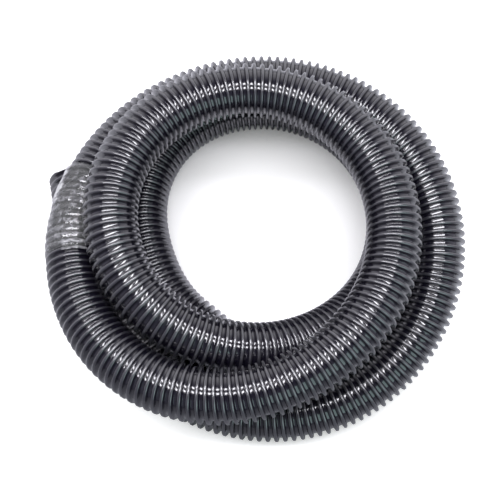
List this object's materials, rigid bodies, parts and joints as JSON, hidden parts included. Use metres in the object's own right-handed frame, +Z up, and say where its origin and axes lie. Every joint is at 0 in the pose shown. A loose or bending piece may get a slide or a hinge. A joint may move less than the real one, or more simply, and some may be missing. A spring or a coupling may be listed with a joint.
{
  "type": "vacuum hose",
  "caption": "Bare corrugated vacuum hose, wound clockwise in a loose pile, with a wrap of clear stretch film round one strand and one open end free",
  "frame": {"origin": "middle of the pile's bounding box, on the floor that it lies on", "axes": "+Z up, along the axis that the coil is wound about; -Y towards the front, where the uppermost strand crosses the lowest; +X to the right"},
  "size_m": [0.3674, 0.3502, 0.136],
  "materials": {
    "hose": "glossy moulded plastic, near black",
    "film": "clear stretch film, wrinkled"
  },
  "bodies": {
    "root": {"hose_coil": "hose", "hose_end": "hose", "film_wrap": "film"}
  },
  "joints": []
}
